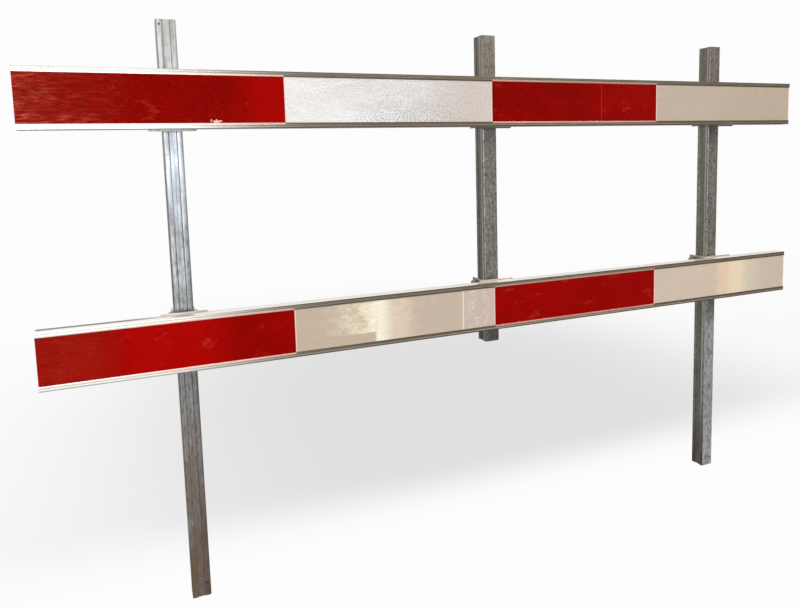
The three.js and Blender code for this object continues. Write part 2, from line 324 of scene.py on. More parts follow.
def white_foil_material(name, ends, light, shade, shade_from, speckle, extra=None, dull=None):
    """White reflective sheeting: level grain and dark specks, pinkish cut ends, painted glints, and painted
    light shading to painted shade towards the right.
    extra(s, x, z, colour, creases, grain, speck) adds a field's own painted highlights and wear to the
    colour."""
    s = Shader(name)
    x, z = s.axis("X"), s.axis("Z")
    grain = s.noise(1.0, 4.0, 0.65, s.stretched(40.0, 1.0, 420.0))
    speck = s.noise(1.0, 4.0, 0.7, s.stretched(260.0, 1.0, 380.0))
    patches = s.noise(9.0, 4.0, 0.6, s.stretched(0.7, 1.0, 1.8))
    creases = s.noise(55.0, 5.0, 0.65, s.stretched(0.45, 1.0, 1.3), 0.6)
    # Painted light on the left of shade_from, shading to painted shade on its right.
    colour = s.mix(s.ramp(x, *shade_from), light, shade)
    colour = s.mix(s.ramp(patches, 0.3, 0.7, 0.0, 0.5), colour, shade)
    dull = dull or tuple(0.66 * value for value in shade)
    colour = s.mix(s.ramp(grain, 0.42, 0.64, 0.0, 0.22 + 0.45 * speckle), colour, dull)
    if extra is not None:
        colour = extra(s, x, z, colour, creases, grain, speck)
    specks = s.product(s.ramp(speck, 0.52, 0.60), s.ramp(patches, 0.3, 0.6, 0.45, 1.0), speckle)
    colour = s.mix(specks, colour, (0.32, 0.32, 0.33))
    glint_noise = s.noise(1.0, 3.0, 0.6, s.stretched(260.0, 1.0, 300.0, (5, 0, 7)))
    glints = s.ramp(glint_noise, 0.56, 0.68, 0.0, min(1.0, 1.5 * speckle))
    colour = s.mix(glints, colour, (0.97, 0.98, 1.0))
    cut_end = s.math("MAXIMUM", *(s.band(x, end, 1.8 * MM, 0.8 * MM) for end in ends))
    colour = s.mix(s.product(cut_end, 0.85), colour, (1.0, 0.70, 0.66))
    return finish_foil(s, colour, grain, creases, 0.25 + 0.6 * speckle, 0.3)


def sheen_and_wear(s, x, z, colour, creases, grain, speck):
    """The upper white field: painted highlights, cool in the middle and warm at the left end, and a pale
    fold that runs up to the right.
    """
    # Painted highlight: the left end lightened to near white.
    colour = s.mix(s.ramp(x, -0.48, -0.34, 0.5, 0.0), colour, (0.97, 0.985, 0.95))
    top, low = 1.132, 1.037
    dark_specks = s.product(
        s.ramp(speck, 0.47, 0.58), s.band(x, -0.20, 0.07, 0.12), s.ramp(z, top, low, 0.1, 1.0), 0.7
    )
    colour = s.mix(dark_specks, colour, (0.27, 0.27, 0.29))
    fold_slope, fold_height = 0.17, 1.1835
    height = s.math("SUBTRACT", z, s.product(x, fold_slope))
    height = s.math("ADD", height, s.product(s.math("SUBTRACT", creases, 0.5), 0.02))
    fold = s.product(s.band(height, fold_height, 0.3 * MM, 1.5 * MM), s.band(x, -0.405, 0.04, 0.04), 0.8)
    return s.mix(fold, colour, (1.0, 1.0, 1.0))


def glow_and_seam(s, x, z, colour, creases, grain, speck):
    """The lower white field: a painted highlight band with a painted shadow step at its lower left, a lapped
    seam, and crumpling beside it.
    """
    shifted = s.math("ADD", x, s.product(s.math("SUBTRACT", creases, 0.5), 0.10))
    uneven_light = s.ramp(grain, 0.3, 0.7, 1.0, 0.72)
    # Painted shadow step: below this height the painted highlight's left side ends hard.
    step = s.ramp(s.math("ADD", z, s.product(creases, 0.012)), 0.5675, 0.5735)
    hard_edge, soft_edge = s.ramp(x, -0.318, -0.308), s.ramp(shifted, -0.352, -0.300)
    left_edge = s.math("ADD", hard_edge, s.product(s.math("SUBTRACT", soft_edge, hard_edge), step))
    # Painted highlight: core, halo, blotchy left side and fringe of the bright band.
    core = s.product(left_edge, s.ramp(x, -0.306, -0.258, 1.0, 0.0), uneven_light)
    halo = s.product(s.ramp(shifted, -0.27, -0.19, 0.55, 0.0), s.ramp(x, -0.316, -0.306), uneven_light)
    cloud = s.ramp(s.noise(48.0, 6.0, 0.72, s.stretched(0.8, 1.0, 1.2)), 0.36, 0.62, 0.1, 0.95)
    cloud = s.math("MAXIMUM", cloud, s.ramp(shifted, -0.365, -0.315, 0.0, 0.9))
    blotchy = s.product(
        s.ramp(shifted, -0.45, -0.335), s.ramp(x, -0.318, -0.309, 1.0, 0.0), cloud, step, uneven_light, 0.9
    )
    fringe = s.product(s.band(shifted, -0.248, 0.005, 0.025), uneven_light, 0.28)
    colour = s.mix(halo, colour, (0.82, 0.70, 0.55))
    colour = s.mix(blotchy, colour, (0.98, 0.89, 0.68))
    colour = s.mix(fringe, colour, (0.98, 0.76, 0.58))
    colour = s.mix(core, colour, (1.0, 0.99, 0.80))

    past_seam = s.ramp(x, WHITE_SEAM - 1 * MM, WHITE_SEAM + 1 * MM)
    colour = s.mix(s.product(past_seam, 0.45), colour, (0.60, 0.51, 0.47))
    folds = s.noise(30.0, 4.0, 0.62, s.stretched(1.0, 1.0, 1.0, (7, 0, 3)), 1.2)
    fold_line = s.ramp(s.math("ABSOLUTE", s.math("SUBTRACT", folds, 0.5)), 0.0, 0.022, 0.55, 0.0)
    crumpled = s.product(fold_line, past_seam, s.band(x, -0.05, 0.012, 0.035))
    colour = s.mix(crumpled, colour, (0.98, 0.92, 0.90))
    seam = s.product(s.band(x, WHITE_SEAM, 0.9 * MM, 0.8 * MM), 0.85)
    return s.mix(seam, colour, (1.0, 0.84, 0.80))


def far_glow(s, x, z, colour, creases, grain, speck):
    """The right end of the lower board: a soft warm painted highlight band, orange on its left and greenish
    on its right.
    """
    shifted = s.math("ADD", x, s.product(s.math("SUBTRACT", creases, 0.5), 0.05))
    orange = s.product(s.band(shifted, 0.762, 0.012, 0.035), 0.6)
    yellow = s.product(s.band(shifted, 0.81, 0.010, 0.04), 0.6)
    green = s.product(s.band(shifted, 0.862, 0.010, 0.04), 0.3)
    colour = s.mix(orange, colour, (0.88, 0.66, 0.46))
    colour = s.mix(yellow, colour, (0.93, 0.82, 0.58))
    return s.mix(green, colour, (0.72, 0.74, 0.56))


def adhesive_material():
    """What the foil leaves where a chip of it has torn off."""
    s = Shader("bared_adhesive")
    s.set(Base_Color=s.mix(s.noise(300.0), (0.85, 0.70, 0.62), (0.6, 0.45, 0.38)), Roughness=0.6)
    return s.material


def galvanised_base(s, light, dark, along):
    """Hot-dip galvanised steel: spangle, runs along the tube, white bloom, and a painted glare at the top
    left.
    Returns the colour and the three noises that the finish uses again."""
    x, y, z = s.axis("X"), s.axis("Y"), s.axis("Z")
    spangle = s.cells(150.0, "F1", "Color", s.stretched(1.0, 1.0, 0.45))
    spangle_grey = s.node("ShaderNodeSeparateXYZ", Vector=spangle).outputs["X"]
    runs = s.noise(1.0, 4.0, 0.6, s.stretched(*along))
    cloud = s.noise(16.0, 6.0, 0.68, s.stretched(1.0, 1.0, 0.4))
    mottle = s.noise(170.0, 4.0, 0.7, s.stretched(1.0, 1.0, 0.35))
    colour = s.mix(s.ramp(cloud, 0.34, 0.66), light, dark)
    colour = s.mix(s.product(spangle_grey, 0.3), colour, light)
    colour = s.mix(s.ramp(runs, 0.42, 0.66, 0.0, 0.6), colour, dark)
    colour = s.mix(s.ramp(mottle, 0.46, 0.66, 0.0, 0.6), colour, tuple(0.45 * value for value in dark))
    bloom = s.ramp(s.noise(58.0, 6.0, 0.72, s.stretched(1.0, 1.0, 0.25)), 0.53, 0.70, 0.0, 0.6)
    colour = s.mix(bloom, colour, (0.60, 0.62, 0.65))

    low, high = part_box("left_post")
    post_middle = (low.y + high.y) / 2
    # Painted glare: the top left, on the front, lightened to pale bluish, warmer higher up.
    glare_top_left = s.product(
        s.ramp(x, -0.55, -0.65), s.ramp(z, 0.74, 0.99),
        s.ramp(y, post_middle, post_middle + 8 * MM, 1.0, 0.15),
        s.ramp(z, 1.02, 1.16, 0.70, 0.45), s.ramp(runs, 0.40, 0.66, 1.0, 0.5),
    )
    glare_tone = s.mix(s.ramp(z, 1.02, 1.16), (0.80, 0.85, 0.93), (0.84, 0.82, 0.80))
    return s.mix(glare_top_left, colour, glare_tone), runs, cloud, mottle


def galvanised_finish(s, colour, metallic, runs, cloud, mottle):
    s.set(
        Base_Color=colour, Metallic=metallic, Roughness=s.ramp(cloud, 0.3, 0.7, 0.36, 0.55),
        Normal=s.bump(runs, 0.0005, 0.4, s.bump(mottle, 0.0003, 0.4)),
    )
    return s.material


def brown_top(s, colour):
    """Brown dirt towards the top, except on the left."""
    top = s.product(s.ramp(s.axis("Z"), 1.10, 1.17), s.ramp(s.axis("X"), *PAST_LEFT_POST), 0.38)
    return s.mix(top, colour, (0.17, 0.145, 0.12))


def bracket_material():
    """The brackets' sheet and weld beads: brownish zinc, with a painted highlight along the lower plates'
    upper edge.
    """
    s = Shader("bracket_steel")
    z = s.axis("Z")
    colour, runs, cloud, mottle = galvanised_base(
        s, (0.25, 0.24, 0.22), (0.135, 0.125, 0.11), (90.0, 90.0, 40.0)
    )
    colour = brown_top(s, colour)
    # Painted highlight along the upper edge of the lower brackets' plates.
    edge_highlight = s.product(
        s.ramp(z, 0.636, 0.643), s.ramp(z, 0.72, 0.80, 1.0, 0.0), s.ramp(cloud, 0.3, 0.7, 0.95, 0.6)
    )
    colour = s.mix(edge_highlight, colour, (0.62, 0.56, 0.47))
    return galvanised_finish(s, colour, 0.85, runs, cloud, mottle)


def post_lines(s, side, runs, colour):
    """Painted shade along the edges and down the middle of a post's groove, and a painted highlight strip
    beside its corner.
    """
    low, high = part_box(f"{side}_post")
    centre = (low + high) / 2
    x, y = s.axis("X"), s.axis("Y")
    if side == "left":
        across, depth = s.math("SUBTRACT", x, centre.x), s.math("SUBTRACT", y, low.y)
        most_shade = 0.30
    else:
        across, depth = s.math("SUBTRACT", centre.y, y), s.math("SUBTRACT", x, low.x)
        most_shade = 0.8
    here = s.band(x, centre.x, centre.x - low.x, 1.0 * MM)
    near = s.product(here, s.ramp(depth, 3 * MM, 6 * MM, 1.0, 0.0))
    mouth = GROOVE_WIDTH / 2 + GROOVE_TAPER / 2
    # Painted shade: dark lines at the groove's edges and down its floor.
    edges = s.band(s.math("ABSOLUTE", across), mouth, 0.5 * MM, 1.4 * MM)
    middle = s.product(s.band(across, 0.0, 0.4 * MM, 1.2 * MM), 0.5)
    lines = s.math("MAXIMUM", edges, middle)
    if side != "left":
        lines = s.math("MAXIMUM", lines, s.product(s.band(across, 0.0, 5 * MM, 4 * MM), 0.45))
    darkening = s.product(lines, near, s.ramp(runs, 0.3, 0.6, 0.5 * most_shade, most_shade))
    colour = s.mix(darkening, colour, (0.10, 0.085, 0.07))
    if side == "left":
        return colour
    # Painted highlight: a pale strip beside the corner.
    strip = s.band(across, 12.5 * MM, 1.6 * MM, 1.2 * MM)
    lit_strip = s.product(strip, near, s.ramp(runs, 0.35, 0.6, 0.9, 0.5))
    return s.mix(lit_strip, colour, (0.72, 0.70, 0.66))


def post_material():
    """The posts' tube: bluish on the left, brown and speckled on the other two, and dirty at the feet."""
    s = Shader("post_steel")
    x, z = s.axis("X"), s.axis("Z")
    colour, runs, cloud, mottle = galvanised_base(
        s, (0.46, 0.475, 0.49), (0.20, 0.205, 0.205), (210.0, 210.0, 4.0)
    )
    past_left_post = s.ramp(x, *PAST_LEFT_POST)
    brown = s.product(past_left_post, s.ramp(z, 0.50, 0.70, 0.0, 0.30))
    colour = s.mix(brown, colour, (0.33, 0.275, 0.21))
    fine = s.noise(300.0, 3.0, 0.7, s.stretched(1.0, 1.0, 0.6, (1, 2, 0)))
    speckled = s.product(past_left_post, s.ramp(z, 0.2, 0.4, 0.5, 1.0))
    glints = s.product(s.ramp(fine, 0.50, 0.38, 0.0, 0.38), speckled)
    colour = s.mix(glints, colour, (0.52, 0.48, 0.41))
    pits = s.product(s.ramp(fine, 0.50, 0.62, 0.0, 0.62), speckled)
    colour = s.mix(pits, colour, (0.060, 0.054, 0.044))
    short_end = s.product(s.band(x, 0.022, 0.03, 0.05), s.ramp(z, 0.56, 0.52), 0.5)
    colour = s.mix(short_end, colour, (0.085, 0.08, 0.07))
    for side in SIDES:
        colour = post_lines(s, side, runs, colour)
    colour = brown_top(s, colour)

    low_left = s.product(s.ramp(z, 0.0, 0.66, 1.0, 0.0), s.ramp(x, -0.5, 0.5, 1.0, 0.0))
    low_right = s.product(s.ramp(z, 0.0, 0.33, 1.0, 0.0), s.ramp(x, 0.3, 0.5))
    dirt_noise = s.noise(30.0, 6.0, 0.68, s.stretched(1.0, 1.0, 0.3))
    right_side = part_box("right_post")[0].x
    on_front = s.product(s.ramp(x, right_side + 1 * MM, right_side + 4 * MM), 0.8)
    darkening = s.product(
        s.math("MAXIMUM", low_left, low_right), s.ramp(dirt_noise, 0.30, 0.62, 0.50, 1.0),
        s.inverse(on_front),
    )
    left_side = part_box("left_post")[0].x
    reddish = s.ramp(x, left_side + 22 * MM, left_side + 34 * MM)
    earth = s.mix(reddish, (0.150, 0.098, 0.060), (0.105, 0.046, 0.025))
    earth = s.mix(s.ramp(x, -0.5, 0.5), earth, (0.050, 0.042, 0.034))
    colour = s.mix(darkening, colour, earth)
    pale_front = s.product(on_front, s.ramp(z, 0.50, 0.42), s.ramp(mottle, 0.42, 0.60, 1.0, 0.30))
    colour = s.mix(pale_front, colour, (0.70, 0.73, 0.78))
    metallic = s.math("SUBTRACT", 0.85, s.product(darkening, 0.6))
    return galvanised_finish(s, colour, metallic, runs, cloud, mottle)


def fastener_material():
    """Zinc-plated bolts and nuts, dulled, with a little brown in the corners."""
    s = Shader("zinc_plate")
    cloud = s.noise(160.0, 4.0, 0.6)
    stain = s.ramp(s.noise(70.0, 5.0, 0.7), 0.56, 0.7, 0.0, 0.6)
    colour = s.mix(s.ramp(cloud, 0.3, 0.7), (0.50, 0.49, 0.46), (0.30, 0.295, 0.285))
    colour = s.mix(stain, colour, (0.16, 0.10, 0.06))
    s.set(
        Base_Color=colour, Metallic=0.9, Roughness=s.ramp(cloud, 0.3, 0.7, 0.3, 0.5),
        Normal=s.bump(cloud, 0.0002, 0.3),
    )
    return s.material


# ---------------------------------------------------------------- mesh making


def rounded_outline(points, radii, steps=5):
    """A closed outline with each corner rounded to its radius by an arc, or kept sharp where it is 0."""
    rounded = []
    count = len(points)
    for index, point in enumerate(points):
        radius = radii[index] if isinstance(radii, (list, tuple)) else radii
        here = Vector(point)
        before = Vector(points[index - 1]) - here
        after = Vector(points[(index + 1) % count]) - here
        turn = before.angle(after)
        if radius <= 0 or turn > math.pi - 0.01:
            rounded.append(tuple(here))
            continue
        reach = min(radius / math.tan(turn / 2), 0.49 * before.length, 0.49 * after.length)
        radius = reach * math.tan(turn / 2)
        centre = here + (before.normalized() + after.normalized()).normalized() * radius / math.sin(turn / 2)
        start = here + before.normalized() * reach - centre
        end = here + after.normalized() * reach - centre
        sweep_angle = start.angle_signed(end)
        for step in range(steps + 1):
            angle = -sweep_angle * step / steps
            c, d = math.cos(angle), math.sin(angle)
            rounded.append((centre.x + start.x * c - start.y * d, centre.y + start.x * d + start.y * c))
    return rounded


def swept_mesh(name, loops, stations, place):
    """A solid with the section in loops (outer first, then holes), through every station.
    place(u, v, station) gives a point in the frame."""
    bm = bmesh.new()
    rings = []
    for station in stations:
        rings.append([[bm.verts.new(place(u, v, station)) for u, v in loop] for loop in loops])
    for near, far in zip(rings, rings[1:]):
        for loop_near, loop_far in zip(near, far):
            count = len(loop_near)
            for i in range(count):
                j = (i + 1) % count
                bm.faces.new((loop_near[i], loop_near[j], loop_far[j], loop_far[i]))
    flat = [[Vector((u, v, 0)) for u, v in loop] for loop in loops]
    triangles = tessellate_polygon(flat)
    for ring in (rings[0], rings[-1]):
        verts = [vert for loop in ring for vert in loop]
        for triangle in triangles:
            bm.faces.new([verts[i] for i in triangle])
    return finished_mesh(name, bm)


def lofted_mesh(name, rings, closed=False):
    """A solid through rings of points with the same count: capped at both ends, or closed on itself."""
    bm = bmesh.new()
    made = [[bm.verts.new(point) for point in ring] for ring in rings]
    pairs = list(zip(made, made[1:]))
    if closed:
        pairs.append((made[-1], made[0]))
    for near, far in pairs:
        count = len(near)
        for i in range(count):
            j = (i + 1) % count
            bm.faces.new((near[i], near[j], far[j], far[i]))
    if not closed:
        bm.faces.new(made[0])
        bm.faces.new(made[-1])
    return finished_mesh(name, bm)


def finished_mesh(name, bm):
    bmesh.ops.recalc_face_normals(bm, faces=bm.faces)
    mesh = bpy.data.meshes.new(name)
    bm.to_mesh(mesh)
    bm.free()
    return mesh


def smooth_by_angle(mesh, degrees=35):
    mesh.polygons.foreach_set("use_smooth", [True] * len(mesh.polygons))
    mesh.set_sharp_from_angle(angle=math.radians(degrees))


def add_piece(name, mesh, body, material, slot, *nodes, smooth=35):
    """Puts a mesh in the scene as a piece that rides on a body and stands for some CAD nodes."""
    smooth_by_angle(mesh, smooth)
    mesh.materials.append(material)
    piece = bpy.data.objects.new(name, mesh)
    bpy.context.collection.objects.link(piece)
    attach(piece, body)
    if nodes:
        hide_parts(*nodes)
    return piece


def applied(piece):
    """Gives the piece the mesh that its modifiers make, and clears them."""
    bpy.context.view_layer.update()
    evaluated = piece.evaluated_get(bpy.context.evaluated_depsgraph_get())
    mesh = bpy.data.meshes.new_from_object(evaluated)
    piece.modifiers.clear()
    piece.data = mesh
    return piece


def spaced(start, end, count):
    """The ends of count equal steps from start to end."""
    return [start + (end - start) * step / count for step in range(count + 1)]


def uneven(point, scale, amount, seed=0.0):
    """A small offset that varies smoothly from place to place."""
    return amount * noise.noise(Vector(point) * scale + Vector((seed, -seed, 0.5 * seed)))


# ---------------------------------------------------------------- boards


BOARD_WALL = 2.0 * MM
RIM = 11 * MM
RECESS = 1.9 * MM
SLOT_MOUTH = 12 * MM
SLOT_WIDTH = 22 * MM
SLOT_DEPTH = 10 * MM
BOARD_STATIONS = 80
BOARD_BOW = 0.25 * MM


def board_loops(depth, height):
    """The extrusion's section in depth and height, from the front of the rims and the board's middle."""
    top = height / 2
    inner = top - RIM
    slot_front = depth - BOARD_WALL - SLOT_DEPTH
    fine, soft = 0.35 * MM, 1.2 * MM
    upper = [
        ((RECESS, inner), 0.3 * MM), ((0, inner), fine),
        ((0, inner + 4.6 * MM), fine), ((0.6 * MM, inner + 5.2 * MM), 0.2 * MM),
        ((0.6 * MM, inner + 6.0 * MM), 0.2 * MM), ((0, inner + 6.6 * MM), fine),
        ((0, top), soft), ((depth, top), soft),
        ((depth, SLOT_MOUTH / 2), fine), ((depth - BOARD_WALL, SLOT_MOUTH / 2), fine),
        ((depth - BOARD_WALL, SLOT_WIDTH / 2), fine), ((slot_front, SLOT_WIDTH / 2), fine),
    ]
    lower = [((y, -z), radius) for (y, z), radius in reversed(upper)]
    points, radii = zip(*(upper + lower))
    outer = rounded_outline(points, radii, 4)
    front, back, rib = RECESS + BOARD_WALL, depth - BOARD_WALL, SLOT_WIDTH / 2 + BOARD_WALL

    def chamber(y0, z0, y1, z1):
        return rounded_outline([(y0, z0), (y1, z0), (y1, z1), (y0, z1)], 1.0 * MM, 3)

    return [
        outer,
        chamber(front, rib, back, top - BOARD_WALL),
        chamber(front, -top + BOARD_WALL, back, -rib),
        chamber(front, -SLOT_WIDTH / 2, slot_front - BOARD_WALL, SLOT_WIDTH / 2),
    ]


def make_board(row, material):
    node = f"{row}_board"
    low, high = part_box(node)
    middle = (low.z + high.z) / 2
    loops = board_loops(high.y - low.y, high.z - low.z)

    def place(depth, height, x):
        bow = uneven((x, middle, 0), 2.2, BOARD_BOW) * (1 - abs(2 * x / (high.x - low.x)) ** 4)
        return (x, low.y + depth, middle + height + bow)

    stations = spaced(low.x, high.x, BOARD_STATIONS)
    mesh = swept_mesh(f"{node}_profile", loops, stations, place)
    add_piece(f"{node}_profile", mesh, BODY_OF_ROW[row], material, "aluminium_board", node, smooth=30)


FOIL_ACROSS = 200
FOIL_UP = 40
FOIL_SINK = 0.22 * MM
FOIL_LAP = 1.6 * MM
FOIL_LAP_RISE = 0.16 * MM
CHIP_SIZE = (11 * MM, 2.6 * MM)


def foil_grid(bm, low, high, crinkle, seed, seam):
    """The foil's front: rows of vertices that crinkle, but lie flat at the edges."""
    rows = []
    for j, z in enumerate(spaced(low.z, high.z, FOIL_UP)):
        row = []
        for i, x in enumerate(spaced(low.x, high.x, FOIL_ACROSS)):
            hold = min(1.0, min(i, FOIL_ACROSS - i, 4 * j, 4 * (FOIL_UP - j)) / 12)
            y = low.y + FOIL_SINK
            y += hold * uneven((x, 0, z), 11, crinkle * MM, seed[0])
            y += hold * uneven((x * 0.6, 0, z * 1.5), 60, 0.45 * crinkle * MM, seed[1])
            if seam is not None and x > seam:
                y -= FOIL_LAP_RISE * min(1.0, (x - seam) / FOIL_LAP)
            row.append(bm.verts.new((x, max(y, low.y), z)))
        rows.append(row)
    return rows


def in_chip(point, chip):
    """Whether a point of the foil is inside the ragged chip round the place (x, z)."""
    offset = Vector(((point.x - chip[0]) / CHIP_SIZE[0], 0, (point.z - chip[1]) / CHIP_SIZE[1]))
    return offset.length + uneven((point.x, 0, point.z), 260, 0.9) < 1


def make_foil(row, colour, number, material, crinkle, seam=None, chip=None, chip_material=None):
    """One field of foil: a thin crinkled sheet, with a lapped seam or a torn chip where it has one."""
    node = f"{row}_{colour}_foil_{number}"
    low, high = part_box(node)
    bm = bmesh.new()
    rows = foil_grid(bm, low, high, crinkle, (number + len(row), number), seam)
    for under, over in zip(rows, rows[1:]):
        for i in range(FOIL_ACROSS):
            face = bm.faces.new((under[i], under[i + 1], over[i + 1], over[i]))
            if chip is not None and in_chip(face.calc_center_median(), chip):
                face.material_index = 1
    edge_loop = rows[0] + [line[-1] for line in rows[1:]]
    edge_loop += rows[-1][-2::-1] + [line[0] for line in rows[-2:0:-1]]
    rear = [bm.verts.new((vert.co.x, high.y, vert.co.z)) for vert in edge_loop]
    count = len(edge_loop)
    for i in range(count):
        j = (i + 1) % count
        bm.faces.new((edge_loop[i], rear[i], rear[j], edge_loop[j]))
    bm.faces.new(rear)
    mesh = finished_mesh(f"{node}_sheet", bm)
    add_piece(f"{node}_sheet", mesh, BODY_OF_ROW[row], material, f"{colour}_foil", node, smooth=50)
    if chip_material is not None:
        mesh.materials.append(chip_material)


# ---------------------------------------------------------------- posts


POST_WALL = 2.0 * MM
POST_CORNER = 4.0 * MM
GROOVE_WIDTH = 14 * MM
GROOVE_DEPTH = 1.5 * MM
GROOVE_TAPER = 1.5 * MM
VENT_RADIUS = 2.5 * MM
VENT_EDGE = 7.5 * MM
VENT_BELOW_TOP = 10 * MM
VENT_ABOVE_FOOT = 30 * MM
POST_STATIONS = 48


def post_loop(half, corner, inset):
    """The tube's outline with its grooves in the front and back, drawn a given distance inside."""
    half, corner = half - inset, corner - inset
    floor_half = GROOVE_WIDTH / 2 + inset
    mouth_half = floor_half + GROOVE_TAPER
    floor = -half + GROOVE_DEPTH
    face = [
        ((-mouth_half, -half), 0.9 * MM), ((-floor_half, floor), 0.7 * MM), ((floor_half, floor), 0.7 * MM),
        ((mouth_half, -half), 0.9 * MM), ((half, -half), corner), ((half, half), corner),
    ]
    opposite = [((-x, -y), radius) for (x, y), radius in face]
    points, radii = zip(*(face + opposite))
    return rounded_outline(points, radii, 6)


def make_post(side, material):
    node = f"{side}_post"
    low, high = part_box(node)
    centre = (low + high) / 2
    half = (high.x - low.x) / 2
    loops = [post_loop(half, POST_CORNER, 0.0), post_loop(half, POST_CORNER, POST_WALL)]
    turned = side != "left"

    def place(u, v, z):
        x, y = (v, -u) if turned else (u, v)
        return (centre.x + x, centre.y + y, z)

    mesh = swept_mesh(f"{node}_tube", loops, spaced(low.z, high.z, POST_STATIONS), place)
    piece = add_piece(f"{node}_tube", mesh, POST_BODY, material, "galvanised_post", node)

    for hand, height in ((-1, high.z - VENT_BELOW_TOP), (1, low.z + VENT_ABOVE_FOOT)):
        drill = drill_cylinder(VENT_RADIUS, 4 * POST_WALL)
        spot = Matrix.Translation(place(hand * (half - VENT_EDGE), -half, height))
        drill.matrix_world = spot @ Matrix.Rotation(math.pi / 2, 4, "Y" if turned else "X")
        cut_with(piece, drill)
    smooth_by_angle(piece.data)


def drill_cylinder(radius, length):
    """A drill for cut_with, which removes it again."""
    bm = bmesh.new()
    bmesh.ops.create_cone(bm, cap_ends=True, segments=24, radius1=radius, radius2=radius, depth=length)
    tool = bpy.data.objects.new("drill", finished_mesh("drill", bm))
    bpy.context.collection.objects.link(tool)
    return tool


def cut_with(piece, tool):
    """Cuts the tool out of the piece and removes the tool."""
    modifier = piece.modifiers.new("cut", "BOOLEAN")
    modifier.operation = "DIFFERENCE"
    modifier.solver = "EXACT"
    modifier.object = tool
    applied(piece)
    bpy.data.objects.remove(tool)


# ---------------------------------------------------------------- brackets


SHEET = 3 * MM
CHEEK_OUTSIDE = 23.6 * MM
WELD_HALF_LENGTH = 44 * MM
WELD_RADIUS = 2.4 * MM
WELD_RIPPLE = 0.35 * MM
WELD_PITCH = 3.2 * MM
WELD_SUNK = 0.3 * MM
WELD_STEPS = 150
EDGE_ROUNDING = 0.5 * MM


def make_welds(row, side, material):
    """A rippled weld bead down each outer corner between a bracket's cheek and its plate."""
    node = f"{row}_{side}_bracket"
    low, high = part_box(node)
    centre = (low + high) / 2
    plate_back = low.y + SHEET
    arc = [math.pi / 2 * part / 6 for part in range(7)]
    for hand, direction in (("left", -1), ("right", 1)):
        corner = centre.x + direction * CHEEK_OUTSIDE
        rings = []
        for step in range(WELD_STEPS + 1):
            along = 2 * step / WELD_STEPS - 1
            z = centre.z + along * WELD_HALF_LENGTH
            ripple = abs(math.sin(math.pi * z / WELD_PITCH))
            radius = (WELD_RADIUS + WELD_RIPPLE * ripple) * (1 - 0.6 * abs(along) ** 24)
            radius += uneven((corner, plate_back, z), 90, 0.3 * MM, direction)
            section = [(-WELD_SUNK, -WELD_SUNK), (radius, -WELD_SUNK)]
            section += [(radius * math.cos(angle), radius * math.sin(angle)) for angle in arc]
            section.append((-WELD_SUNK, radius))
            rings.append([(corner + direction * x, plate_back + y, z) for x, y in section])
        mesh = lofted_mesh(f"{node}_weld_{hand}", rings)
        add_piece(f"{node}_weld_{hand}", mesh, BODY_OF_ROW[row], material, "galvanised_bracket", smooth=50)


def make_bracket(row, side, material):
    """The CAD bracket with its edges rounded."""
    node = f"{row}_{side}_bracket"
    bm = bmesh.new()
    bm.from_mesh(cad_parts[node].data)
    bmesh.ops.remove_doubles(bm, verts=bm.verts, dist=0.01 * MM)
    bmesh.ops.dissolve_limit(bm, angle_limit=math.radians(1), verts=bm.verts, edges=bm.edges)
    steep = math.radians(40)
    sharp = [edge for edge in bm.edges if edge.is_manifold and edge.calc_face_angle() > steep]
    bmesh.ops.bevel(
        bm, geom=sharp, offset=EDGE_ROUNDING, offset_type="OFFSET", segments=2, profile=0.5, affect="EDGES"
    )
    mesh = finished_mesh(f"{node}_plate", bm)
    add_piece(f"{node}_plate", mesh, BODY_OF_ROW[row], material, "galvanised_bracket", node)


# ---------------------------------------------------------------- fasteners


HEX_FLATS = 13 * MM
HEX_HEIGHT = 6 * MM
FLANGE_RADIUS = 8.5 * MM
FLANGE_HEIGHT = 1.4 * MM
SHANK_RADIUS = 4.0 * MM
NUT_BORE = 4.3 * MM
THREAD_PITCH = 1.25 * MM
THREAD_DEPTH = 0.5 * MM
THREAD_STEPS = 8
HEAD_WIDTH = 10 * MM
HEAD_THICKNESS = 4.5 * MM
BOLT_TAIL = 3.5 * MM
ROUND = 48


def hex_radius(angle, cap=1.0):
    """Radius of a hexagon at an angle, trimmed to a circle as the chamfer of a nut trims it."""
    within = (angle + math.pi / 6) % (math.pi / 3) - math.pi / 6
    return min(HEX_FLATS / 2 / math.cos(within), cap)


def ring(along, radius_at):
    """One ring of points round the X axis, at x = along."""
    points = []
    for step in range(ROUND):
        angle = 2 * math.pi * step / ROUND
        radius = radius_at(angle) if callable(radius_at) else radius_at
        points.append((along, radius * math.cos(angle), radius * math.sin(angle)))
    return points


def hex_rings(seat, direction):
    """Flange, hexagon and chamfered end, from the seat outwards along X in the given direction."""
    corner = HEX_FLATS / math.sqrt(3)
    end = seat + direction * HEX_HEIGHT
    rings = [
        ring(seat, FLANGE_RADIUS - 0.3 * MM),
        ring(seat + direction * 0.3 * MM, FLANGE_RADIUS),
        ring(seat + direction * (FLANGE_HEIGHT - 0.5 * MM), FLANGE_RADIUS),
        ring(seat + direction * FLANGE_HEIGHT, FLANGE_RADIUS - 0.5 * MM),
    ]
    neck = seat + direction * (FLANGE_HEIGHT + 0.25 * MM)
    rings.append(ring(neck, hex_radius))
    for back, trim in ((1.0, 1.0), (0.66, 0.975), (0.33, 0.935), (0.0, 0.885)):
        along = end - direction * back * MM
        rings.append(ring(along, lambda angle, cap=corner * trim: hex_radius(angle, cap)))
    rings.append(ring(end, HEX_FLATS / 2 * 0.8))
    return rings


